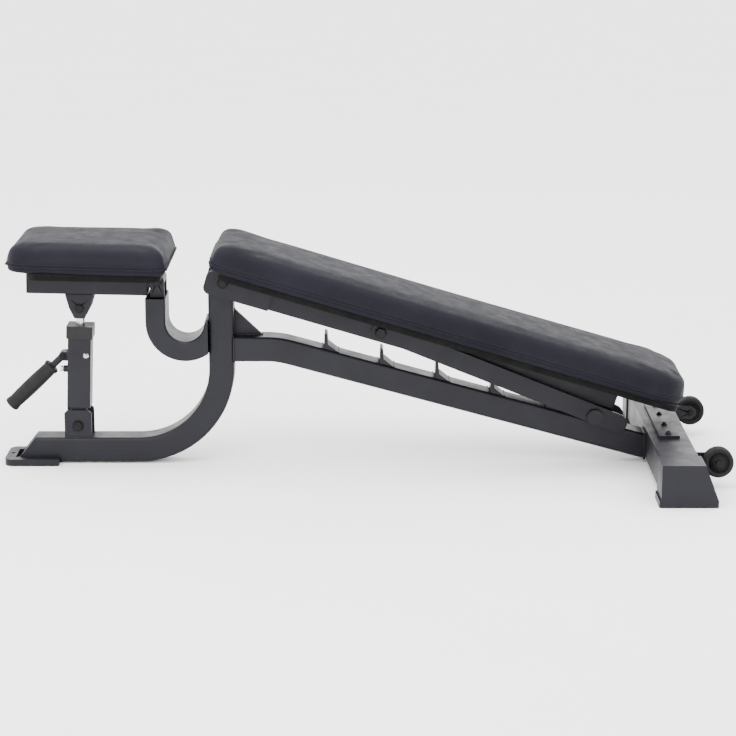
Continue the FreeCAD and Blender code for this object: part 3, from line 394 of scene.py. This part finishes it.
def evened(points, count):
    """The same closed line with its points spaced evenly."""
    closed = points + points[:1]
    lengths = [(b - a).length for a, b in zip(closed, closed[1:])]
    total = sum(lengths)
    made = []
    walked = 0.0
    index = 0
    for step in range(count):
        target = total * step / count
        while index < len(lengths) - 1 and walked + lengths[index] < target:
            walked += lengths[index]
            index += 1
        part = (target - walked) / max(lengths[index], 1e-9)
        made.append(closed[index].lerp(closed[index + 1], part))
    return made


def pad_blank(low, high, radii, crown):
    """A pad before it is stuffed: flat base, sides, a rounded rim and a crowned top."""
    thickness = high.z - low.z
    rim = thickness * 0.36
    steps = [(0.004, 0.0), (0.001, 0.004), (0.0, thickness * 0.2), (0.001, thickness - rim)]
    for part in range(1, 7):
        angle = math.radians(15 * part)
        steps.append((rim * (1 - math.cos(angle)) * 0.9 + 0.001,
                      thickness - rim + rim * math.sin(angle) * 0.93))
    for inset, part in ((0.04, 0.5), (0.06, 0.75), (0.085, 0.93), (0.11, 1.0)):
        steps.append((inset, thickness * 0.975 + crown * part))
    mesh = bmesh.new()
    rings = []
    for inset, height in steps:
        ring = [mesh.verts.new((spot.x, spot.y, low.z + height))
                for spot in rounded_outline(low, high, radii, inset)]
        rings.append(ring)
    count = len(rings[0])
    for ring, after in zip(rings, rings[1:]):
        for step in range(count):
            following = (step + 1) % count
            mesh.faces.new((ring[step], ring[following], after[following], after[step]))
    mesh.faces.new(list(reversed(rings[0])))
    mesh.faces.new(rings[-1])
    return mesh


def inflate(made, base_height, limit):
    """Stuffs the pad: cloth under pressure, held at its base, with each point's travel capped."""
    remesh = made.modifiers.new("even", "REMESH")
    remesh.mode = "VOXEL"
    remesh.voxel_size = 0.006
    apply_modifiers(made)
    start = [vertex.co.copy() for vertex in made.data.vertices]
    held = made.vertex_groups.new(name="held")
    for vertex in made.data.vertices:
        above = vertex.co.z - base_height
        weight = 1.0 if above < 0.006 else max(0.0, 1.0 - (above - 0.006) / 0.02) * 0.5
        if weight > 0:
            held.add([vertex.index], weight, "REPLACE")
    cloth = made.modifiers.new("stuffing", "CLOTH")
    cloth.settings.quality = 5
    cloth.settings.mass = 0.4
    cloth.settings.use_pressure = True
    cloth.settings.uniform_pressure_force = 4.0
    cloth.settings.effector_weights.gravity = 0.0
    cloth.settings.vertex_group_mass = "held"
    for number in range(1, 21):
        bpy.context.scene.frame_set(number)
    apply_modifiers(made)
    bpy.context.scene.frame_set(1)
    for vertex, before in zip(made.data.vertices, start):
        travel = vertex.co - before
        if travel.length > limit:
            vertex.co = before + travel.normalized() * limit


def apply_modifiers(made):
    """Replaces a piece's mesh with its evaluated one and drops its modifiers."""
    evaluated = made.evaluated_get(bpy.context.evaluated_depsgraph_get())
    fresh = bpy.data.meshes.new_from_object(evaluated)
    made.modifiers.clear()
    old = made.data
    made.data = fresh
    bpy.data.meshes.remove(old)


def relaxed(mesh, rounds, factor):
    for _ in range(rounds):
        bmesh.ops.smooth_vert(mesh, verts=mesh.verts, factor=factor, use_axis_x=True,
                              use_axis_y=True, use_axis_z=True)


def tube_along(mesh, points, radius, closed=True, segments=8, ripple=None):
    """Adds a round tube along points; ripple gives the radius a factor at each one."""
    count = len(points)
    rings = []
    for index, spot in enumerate(points):
        before = points[index - 1] if closed or index else spot
        after = points[(index + 1) % count] if closed or index < count - 1 else spot
        along = (after - before).normalized()
        side = along.cross(Vector((0, 0, 1)))
        if side.length < 0.1:
            side = along.cross(Vector((0, 1, 0)))
        side.normalize()
        up = side.cross(along)
        size = radius * (ripple(index) if ripple else 1.0)
        rings.append([mesh.verts.new(spot + side * size * math.cos(2 * math.pi * k / segments)
                                     + up * size * math.sin(2 * math.pi * k / segments))
                      for k in range(segments)])
    spans = count if closed else count - 1
    for index in range(spans):
        ring, after = rings[index], rings[(index + 1) % count]
        for k in range(segments):
            following = (k + 1) % segments
            mesh.faces.new((ring[k], ring[following], after[following], after[k]))
    if not closed:
        mesh.faces.new(list(reversed(rings[0])))
        mesh.faces.new(rings[-1])


def skin_line(surface, outline, height, middle, sink):
    """Where a level line round a pad meets its side, moved in by sink."""
    found = []
    for spot in outline:
        outward = Vector((spot.x - middle.x, spot.y - middle.y, 0))
        nearest = min(max(spot.x, middle.x - 0.2), middle.x + 0.2)
        outward = Vector((spot.x - nearest, spot.y - middle.y, 0)).normalized()
        origin = Vector((spot.x, spot.y, height)) + outward * 0.05
        hit = surface.ray_cast(origin, -outward)[0]
        if hit is None:
            hit = Vector((spot.x, spot.y, height))
        found.append(hit - outward * sink)
    return found


def upholstered(name, node, body, place, radii, crown, limit, shape=None):
    """One pad: stuffed cover, a sewn seam low on its sides, its piping and its stitches."""
    low, high = local_box(node, place)
    shrink = Vector((0.0035, 0.0035, 0.0))
    blank = pad_blank(low + shrink, high - shrink, radii, crown)
    if shape:
        for vertex in blank.verts:
            shape(vertex, low, high)
    made = piece(name, blank, body, "pad_vinyl", stands_for=(node,))
    inflate(made, low.z, limit)

    mesh = bmesh.new()
    mesh.from_mesh(made.data)
    relaxed(mesh, 2, 0.5)
    for vertex in mesh.verts:
        vertex.co.z = max(vertex.co.z, low.z)
    surface = BVHTree.FromBMesh(mesh)
    outline = [Vector((spot.x, spot.y, 0)) for spot in
               evened(rounded_outline(low, high, radii, 0.002), int((high.x - low.x) * 500))]
    if shape:
        for spot in outline:
            shape(SimpleSpot(spot), low, high)
    middle = (low + high) / 2
    seam = low.z + 0.013
    piping_line = skin_line(surface, outline, seam, middle, 0.0004)
    stitch_line = skin_line(surface, outline, seam + 0.0058, middle, 0.0002)
    for vertex in mesh.verts:
        gap = abs(vertex.co.z - seam)
        side = min(vertex.co.x - low.x, high.x - vertex.co.x,
                   vertex.co.y - low.y, high.y - vertex.co.y)
        if gap < 0.007 and side < 0.03:
            inward = Vector((middle.x - vertex.co.x, middle.y - vertex.co.y, 0))
            inward.x = 0.0 if abs(inward.x) < (high.x - low.x) * 0.4 else inward.x
            vertex.co += inward.normalized() * 0.0016 * (1 - gap / 0.007)
    mesh.to_mesh(made.data)
    mesh.free()
    made.data.transform(place)
    for polygon in made.data.polygons:
        polygon.use_smooth = True
    finer = made.modifiers.new("finer", "SUBSURF")
    finer.levels = finer.render_levels = 1

    piping = bmesh.new()
    tube_along(piping, [place @ spot for spot in piping_line], 0.0019)
    smooth_faces(piece(name + "_piping", piping, body, "pad_vinyl"))
    stitches = bmesh.new()
    for index in range(0, len(stitch_line) - 1):
        first, second = stitch_line[index], stitch_line[index + 1]
        short = [first.lerp(second, part) for part in (0.15, 0.5, 0.85)]
        outward = (short[1] - middle)
        outward.z = 0
        short[1] = short[1] + outward.normalized() * 0.0003
        tube_along(stitches, [place @ spot for spot in short], 0.00035, closed=False, segments=5)
    piece(name + "_stitches", stitches, body, "pad_vinyl", material=THREAD)
    return made


class SimpleSpot:
    """Lets a plain vector be shaped as a mesh vertex is."""

    def __init__(self, spot):
        self.co = spot


def smooth_faces(made):
    for polygon in made.data.polygons:
        polygon.use_smooth = True
    return made


def seat_shape(vertex, low, high):
    """Draws the seat's front end in: the nose is narrower than the back."""
    part = max(0.0, (high.x - vertex.co.x) / (high.x - low.x))
    vertex.co.y *= 1.0 - 0.09 * part ** 1.6


def pads():
    """Replaces both plain pads by upholstered ones."""
    upholstered("back_cushion", "back_pad", "back", BACK, (0.03, 0.064), 0.0015, 0.004)
    upholstered("seat_cushion", "seat_pad", "seat", SEAT, (0.040, 0.022), 0.0015, 0.004,
                shape=seat_shape)


# ---- fasteners -----------------------------------------------------------------------------

def hexagon(mesh, place, axis, start, end, radius):
    """Adds a six-sided head with its corners chamfered at the outer end."""
    cut = min(abs(end - start) * 0.25, radius * 0.2) * (1 if end > start else -1)
    lathe(mesh, [(start, radius), (end - cut, radius), (end, radius * 0.86)], place, axis, 6)


def through_bolts(name, node, body, place, shaft_radius, head_length):
    """Bolts along Y: shaft, washers, a chamfered hexagon head and a nut with its thread end."""
    mesh = bmesh.new()
    for low, high in solids_of(node, place):
        centre = place @ Matrix.Translation(Vector(((low.x + high.x) / 2, 0, (low.z + high.z) / 2)))
        radius = (high.x - low.x) / 2
        washer = head_length * 0.22
        lathe(mesh, [(low.y + head_length * 0.5, shaft_radius),
                     (high.y - head_length * 0.5, shaft_radius)], centre)
        for face, way in ((low.y, 1), (high.y, -1)):
            seat_face = face + way * head_length
            lathe(mesh, [(seat_face, radius), (seat_face - way * washer, radius),
                         (seat_face - way * washer, shaft_radius * 0.9)], centre)
            outer = face + way * head_length * (0.0 if way > 0 else 0.25)
            hexagon(mesh, centre, "Y", seat_face - way * washer, outer, radius * 0.9)
        lathe(mesh, [(high.y - head_length * 0.4, shaft_radius * 0.8),
                     (high.y - head_length * 0.08, shaft_radius * 0.8),
                     (high.y, shaft_radius * 0.66)], centre, segments=24)
    made = piece(name, mesh, body, "bolt_steel", stands_for=(node,))
    soften(made, 0.0004)


def screw_heads(name, node, body, place, axis="Z", slot_name="bolt_steel"):
    """Domed socket heads for the short screws; the dome faces up unless the axis is -Z."""
    mesh = bmesh.new()
    for low, high in solids_of(node, place):
        middle = (low + high) / 2
        size = high - low
        if axis == "Y":
            radius, length, way = size.x / 2, size.y, -1
            start = high.y
            centre = place @ Matrix.Translation(Vector((middle.x, 0, middle.z)))
        else:
            radius, length = size.x / 2, size.z
            way = 1 if axis == "Z" else -1
            start = low.z if way > 0 else high.z
            centre = place @ Matrix.Translation(Vector((middle.x, middle.y, 0)))
        profile = [(start, radius), (start + way * length * 0.22, radius),
                   (start + way * length * 0.24, radius * 0.8),
                   (start + way * length * 0.6, radius * 0.76),
                   (start + way * length * 0.88, radius * 0.6),
                   (start + way * length * 0.97, radius * 0.42),
                   (start + way * length * 0.5, radius * 0.38)]
        lathe(mesh, profile, centre, "Y" if axis == "Y" else "Z", 24)
    smooth_faces(piece(name, mesh, body, slot_name, stands_for=(node,)))


def fasteners():
    through_bolts("hinge_fastener", "hinge_bolt", "back", BACK, 0.007, 0.007)
    through_bolts("strut_fastener", "strut_pivot_bolt", "back", BACK, 0.008, 0.008)
    through_bolts("seat_hinge_fastener", "seat_hinge_pin", "frame", WORLD, 0.006, 0.0048)
    through_bolts("seat_clevis_fastener", "seat_clevis_pin", "seat", SEAT, 0.006, 0.0042)
    through_bolts("post_foot_fastener", "post_foot_pin", "frame", WORLD, 0.007, 0.0049)
    through_bolts("lever_fastener", "lever_pin", "post_housing", POST, 0.004, 0.0024)
    through_bolts("wheel_fasteners", "wheel_axles", "frame", WORLD, 0.005, 0.005)
    screw_heads("plate_bolts", "mount_bolts", "frame", WORLD)
    screw_heads("back_screws", "back_pad_screws", "back", BACK, "-Z")
    screw_heads("seat_screws", "seat_pad_screws", "seat", SEAT, "-Z")
    screw_heads("guide_head", "guide_screw", "post_housing", POST, "Y", "bright_steel")


# ---- lever, wheels and small details -------------------------------------------------------

def lever_grip():
    """A moulded grip: flange, finger rings, a swelling middle and a flat, rounded end."""
    low, high = local_box("lever_grip", LEVER)
    radius = (high.y - low.y) / 2
    length = high.x - low.x
    profile = [(low.x, radius * 0.55), (low.x, radius * 0.9), (low.x + 0.0015, radius),
               (low.x + 0.006, radius), (low.x + 0.008, radius * 0.86)]
    rings = 26
    for step in range(rings * 4):
        part = step / (rings * 4 - 1)
        swell = 0.9 + 0.07 * math.sin(math.pi * part)
        groove = -0.035 if step % 4 in (0, 3) else 0.0
        profile.append((low.x + 0.010 + (length - 0.026) * part, radius * (swell + groove)))
    for step in range(9):
        angle = math.radians(90 * step / 8)
        profile.append((high.x - GRIP_END_ROUND * (1 - math.sin(angle)),
                        radius * 0.96 - GRIP_END_ROUND * (1 - math.cos(angle))))
    mesh = bmesh.new()
    lathe(mesh, profile + [(high.x, 0.0004)], LEVER, "X")
    smooth_faces(piece("grip_sleeve", mesh, "lever", "grip_rubber", stands_for=("lever_grip",)))


def wheels():
    """Each wheel: a treaded tyre, a dished hub with ribs and a raised boss."""
    for side in ("near", "far"):
        low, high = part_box("tyre_" + side)
        middle = (low + high) / 2
        radius = (high.x - low.x) / 2
        half = (high.y - low.y) / 2
        place = Matrix.Translation(middle)
        rubber = bmesh.new()
        hub_radius = radius * 0.667
        profile = [(-half * 0.8, hub_radius), (-half * 0.96, hub_radius * 1.06),
                   (-half, radius * 0.84), (-half * 0.9, radius * 0.95), (-half * 0.72, radius * 0.99)]
        for groove in (-0.45, 0.0, 0.45):
            profile += [(half * (groove - 0.09), radius), (half * (groove - 0.05), radius * 0.955),
                        (half * (groove + 0.05), radius * 0.955), (half * (groove + 0.09), radius)]
        profile += [(half * 0.72, radius * 0.99), (half * 0.9, radius * 0.95), (half, radius * 0.84),
                    (half * 0.96, hub_radius * 1.06), (half * 0.8, hub_radius)]
        lathe(rubber, profile + profile[:1], place, segments=72)
        bmesh.ops.remove_doubles(rubber, verts=rubber.verts, dist=0.00001)
        tyre = piece("tyre_tread_" + side, rubber, "wheel_" + side, "tyre_rubber",
                     stands_for=("tyre_" + side,))
        smooth_faces(tyre)
        plastic = bmesh.new()
        width = half * 0.85
        bore = 0.0052
        profile = [(-width, bore), (-width, bore * 1.9), (-width * 0.55, bore * 2.1),
                   (-width * 0.5, hub_radius * 0.8), (-width * 0.86, hub_radius * 0.88),
                   (-width * 0.92, hub_radius * 0.995), (width * 0.92, hub_radius * 0.995),
                   (width * 0.86, hub_radius * 0.88), (width * 0.5, hub_radius * 0.8),
                   (width * 0.55, bore * 2.1), (width, bore * 1.9), (width, bore)]
        lathe(plastic, profile + profile[:1], place, segments=64)
        bmesh.ops.remove_doubles(plastic, verts=plastic.verts, dist=0.00001)
        for spoke in range(6):
            turn = place @ Matrix.Rotation(math.pi * spoke / 3, 4, "Y")
            reach = (bore * 2, hub_radius * 0.84)
            box = bmesh.ops.create_cube(plastic, size=1.0)["verts"]
            for vertex in box:
                local = Vector((sum(reach) / 2 + vertex.co.x * (reach[1] - reach[0]),
                                vertex.co.y * width * 1.55, vertex.co.z * 0.0022))
                vertex.co = turn @ local
        hub = piece("hub_" + side, plastic, "wheel_" + side, "black_plastic",
                    stands_for=("wheel_hub_" + side,))
        soften(hub, 0.0004)


def weld(name, body, loops, radius=0.0024):
    """Weld beads: rippled tubes along the joints between tubes and plates."""
    mesh = bmesh.new()
    for points, closed in loops:
        total = sum((b - a).length for a, b in zip(points, points[1:]))
        count = max(8, int(total / 0.0011))
        line = evened(points, count) if closed else walked(points, count)
        tube_along(mesh, line, radius, closed=closed, segments=8,
                   ripple=lambda index: 0.86 + 0.14 * abs(math.sin(index * 0.9)))
    smooth_faces(piece(name, mesh, body, "frame_paint", material=BEAD))


def walked(points, count):
    """An open line with its points spaced evenly."""
    lengths = [(b - a).length for a, b in zip(points, points[1:])]
    total = sum(lengths)
    made = []
    for step in range(count):
        target = total * step / (count - 1)
        index = 0
        while index < len(lengths) - 1 and target > lengths[index]:
            target -= lengths[index]
            index += 1
        made.append(points[index].lerp(points[index + 1], min(target / lengths[index], 1.0)))
    return made


def upright_loop(x, low_z, high_z, half_width, corner=0.007):
    """A rounded rectangle in the plane of one x, where a tube meets an upright face."""
    points = []
    for y, z, start in ((half_width - corner, high_z - corner, 0),
                        (corner - half_width, high_z - corner, 90),
                        (corner - half_width, low_z + corner, 180),
                        (half_width - corner, low_z + corner, 270)):
        for step in range(6):
            angle = math.radians(start + 18 * step)
            points.append(Vector((x, y + corner * math.cos(angle), z + corner * math.sin(angle))))
    return points


def welds():
    spine_low, spine_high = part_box("spine_tube")
    spine_half = (spine_high.y - spine_low.y) / 2
    spine_depth = 0.05
    left = upright_loop(spine_low.x, spine_high.z - spine_depth, spine_high.z, spine_half)
    slope_depth = spine_depth / math.cos(SPINE_SLOPE)
    right = upright_loop(spine_high.x, spine_low.z, spine_low.z + slope_depth, spine_half)
    gusset_low, gusset_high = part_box("gusset_plate")
    gusset_lines = []
    for side in (gusset_low.y, gusset_high.y):
        corner = Vector((gusset_low.x, side, gusset_low.z))
        gusset_lines.append(([Vector((gusset_high.x, side, gusset_low.z)), corner,
                              Vector((gusset_low.x, side, gusset_high.z))], False))
    weld("frame_welds", "frame", [(left, True), (right, True)] + gusset_lines)

    hook_lines = []
    for low, high in solids_of("ladder_hooks", turned((0, 0, 0), SPINE_SLOPE)):
        slope = turned((0, 0, 0), SPINE_SLOPE)
        base_x = low.x + 0.0035
        hook_lines.append(([slope @ Vector((base_x, low.y, low.z)),
                            slope @ Vector((base_x, high.y, low.z))], False))
        hook_lines.append(([slope @ Vector((high.x, low.y, low.z)),
                            slope @ Vector((high.x, high.y, low.z))], False))
    weld("hook_welds", "frame", hook_lines, 0.0018)

    cheek_lines = []
    for low, high in solids_of("post_cheeks", WORLD):
        for side in (low.y, high.y):
            cheek_lines.append(([Vector((low.x, side, low.z)), Vector((high.x, side, low.z))],
                                False))
    weld("cheek_welds", "frame", cheek_lines, 0.0018)

    clevis_lines = []
    for low, high in solids_of("seat_clevis", SEAT):
        side = low.y if low.y > 0 else high.y
        clevis_lines.append(([SEAT @ Vector((low.x, side, high.z)),
                              SEAT @ Vector((high.x, side, high.z))], False))
    weld("clevis_welds", "seat", clevis_lines, 0.0016)


def staples():
    """Wire staples that hold the covers under the boards."""
    for name, node, body, place, inset in (("back_staples", "back_board", "back", BACK, 0.009),
                                           ("seat_staples", "seat_board", "seat", SEAT, 0.009)):
        low, high = local_box(node, place)
        outline = evened(rounded_outline(low, high, (0.024, 0.024), inset),
                         int(((high.x - low.x) + (high.y - low.y)) * 2 / 0.024))
        mesh = bmesh.new()
        count = len(outline)
        for index, spot in enumerate(outline):
            along = (outline[(index + 1) % count] - outline[index - 1]).normalized() * 0.005
            level = Vector((0, 0, low.z - 0.0003))
            tube_along(mesh, [place @ (spot - along + level), place @ (spot + level),
                              place @ (spot + along + level)], 0.0005, closed=False, segments=6)
        piece(name, mesh, body, "bright_steel")


def finish_cad_nodes():
    """Gives every CAD node its material, and rounds the edges of the ones that show."""
    fine = {"release_lever": 0.0006, "lock_pin": 0.0004, "post_rod": 0.0006, "lock_boss": 0.0005}
    for name, node in NODES.items():
        slot_name = SLOT_OF[name]
        node.data.materials.clear()
        node.data.materials.append(LOOKS[slot_name])
        soften(node, fine.get(name, 0.0011))


studio()
finish_cad_nodes()
pads()
fasteners()
lever_grip()
wheels()
welds()
staples()
